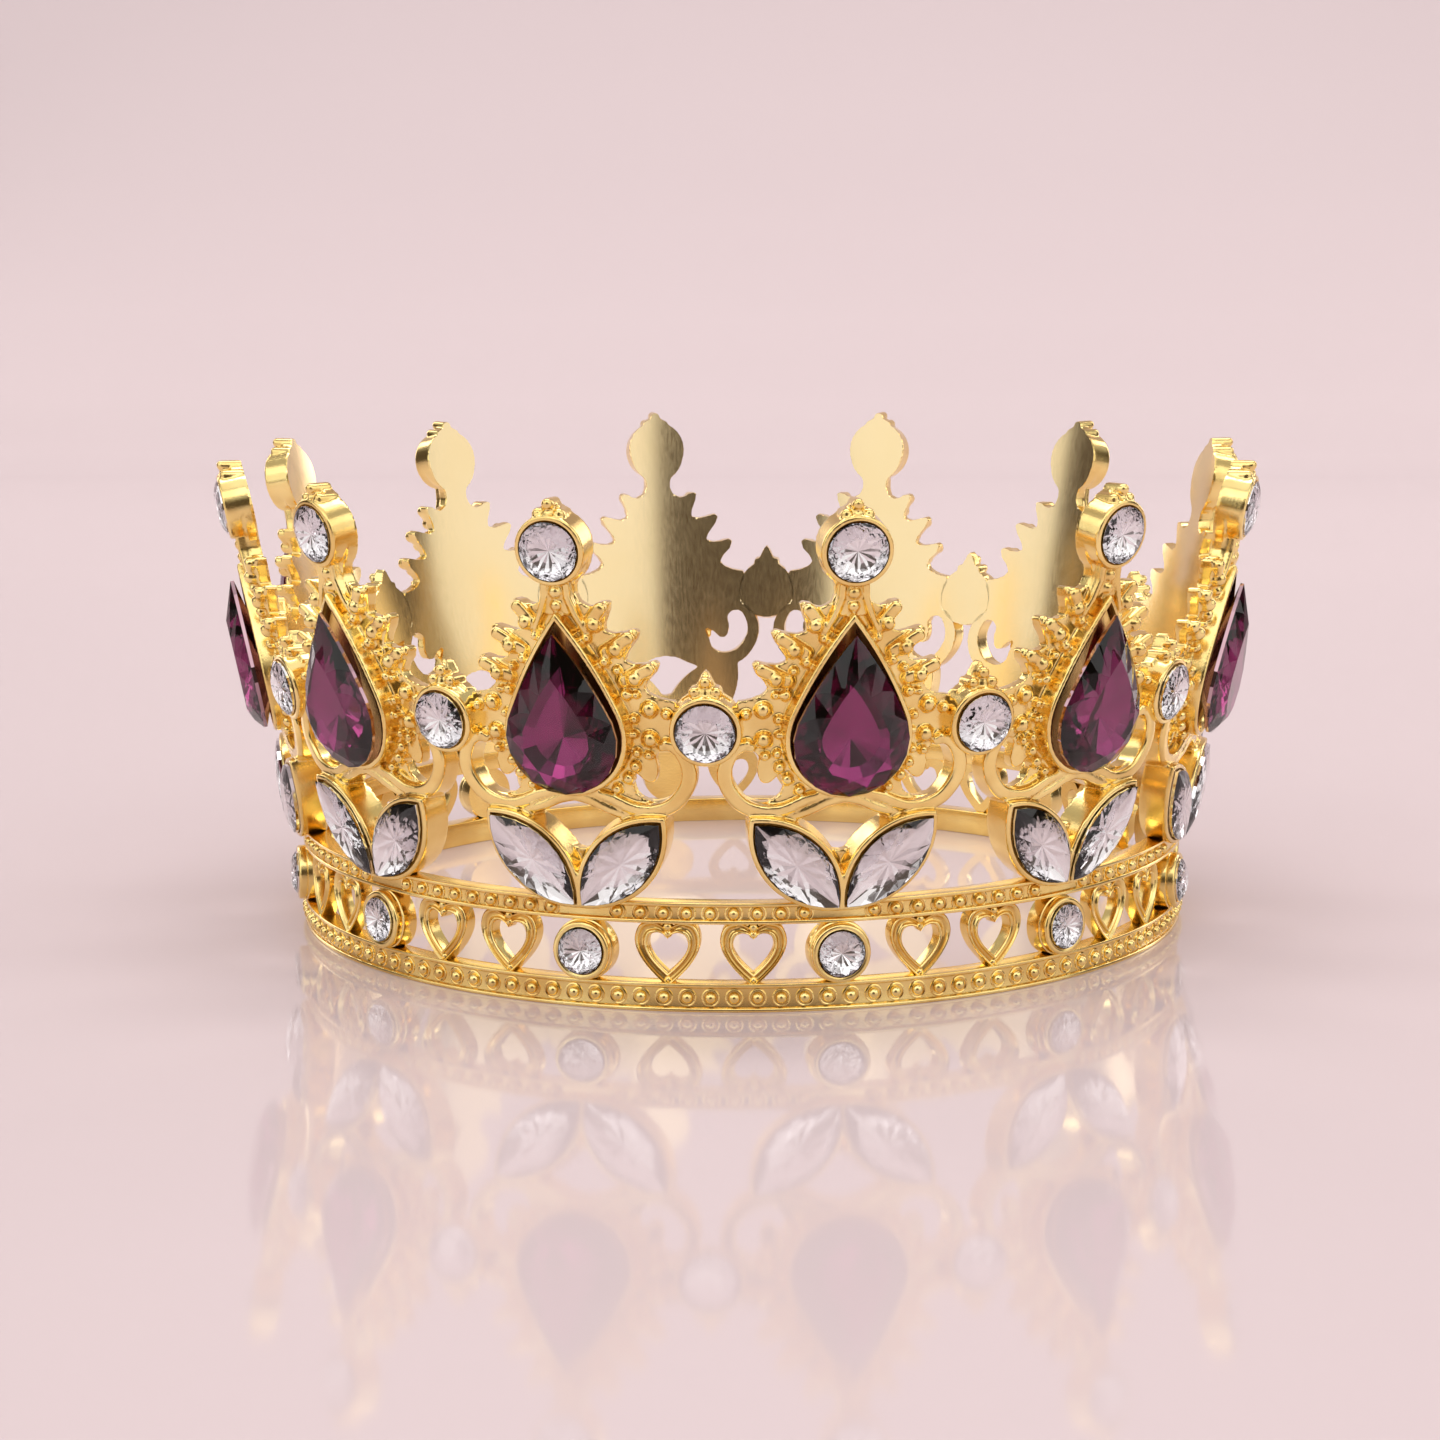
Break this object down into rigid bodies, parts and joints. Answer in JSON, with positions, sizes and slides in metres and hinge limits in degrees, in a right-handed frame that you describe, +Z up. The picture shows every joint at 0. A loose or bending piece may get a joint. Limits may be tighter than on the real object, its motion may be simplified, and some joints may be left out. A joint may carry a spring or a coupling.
{
  "type": "crown",
  "caption": "Round dress crown in gilt metal: a pierced band of beaded rails and hearts under leaning teeth set with pear, marquise and round glass stones, joined by small links.",
  "frame": {"origin": "centre of the circle that the lower rail stands on, at the underside", "axes": "+Z up along the crown's axis; a link casting stands on -Y, and the teeth stand 15 degrees either side of it and every 30 degrees round"},
  "size_m": [0.153, 0.153, 0.0705],
  "materials": {
    "gold_band": "bright yellow gilt over cast zinc alloy, polished, with fine casting texture in the channels",
    "gold_castings": "bright yellow gilt over cast zinc alloy: polished lips and beads, satin smooth backs",
    "purple_glass": "deep purple cut glass, foil backed",
    "clear_glass": "clear cut glass, foil backed"
  },
  "bodies": {
    "root": {"lower_rail": "gold_band", "upper_rail": "gold_band", "heart_pair_01": "gold_band", "heart_pair_02": "gold_band", "heart_pair_03": "gold_band", "heart_pair_04": "gold_band", "heart_pair_05": "gold_band", "heart_pair_06": "gold_band", "heart_pair_07": "gold_band", "heart_pair_08": "gold_band", "heart_pair_09": "gold_band", "heart_pair_10": "gold_band", "heart_pair_11": "gold_band", "heart_pair_12": "gold_band", "band_cup_01": "gold_band", "band_cup_02": "gold_band", "band_cup_03": "gold_band", "band_cup_04": "gold_band", "band_cup_05": "gold_band", "band_cup_06": "gold_band", "band_cup_07": "gold_band", "band_cup_08": "gold_band", "band_cup_09": "gold_band", "band_cup_10": "gold_band", "band_cup_11": "gold_band", "band_cup_12": "gold_band", "tooth_casting_01": "gold_castings", "tooth_casting_02": "gold_castings", "tooth_casting_03": "gold_castings", "tooth_casting_04": "gold_castings", "tooth_casting_05": "gold_castings", "tooth_casting_06": "gold_castings", "tooth_casting_07": "gold_castings", "tooth_casting_08": "gold_castings", "tooth_casting_09": "gold_castings", "tooth_casting_10": "gold_castings", "tooth_casting_11": "gold_castings", "tooth_casting_12": "gold_castings", "link_casting_01": "gold_castings", "link_casting_02": "gold_castings", "link_casting_03": "gold_castings", "link_casting_04": "gold_castings", "link_casting_05": "gold_castings", "link_casting_06": "gold_castings", "link_casting_07": "gold_castings", "link_casting_08": "gold_castings", "link_casting_09": "gold_castings", "link_casting_10": "gold_castings", "link_casting_11": "gold_castings", "link_casting_12": "gold_castings", "pear_stones": "purple_glass", "marquise_stones": "clear_glass", "finial_stones": "clear_glass", "link_stones": "clear_glass", "band_stones": "clear_glass"}
  },
  "joints": []
}
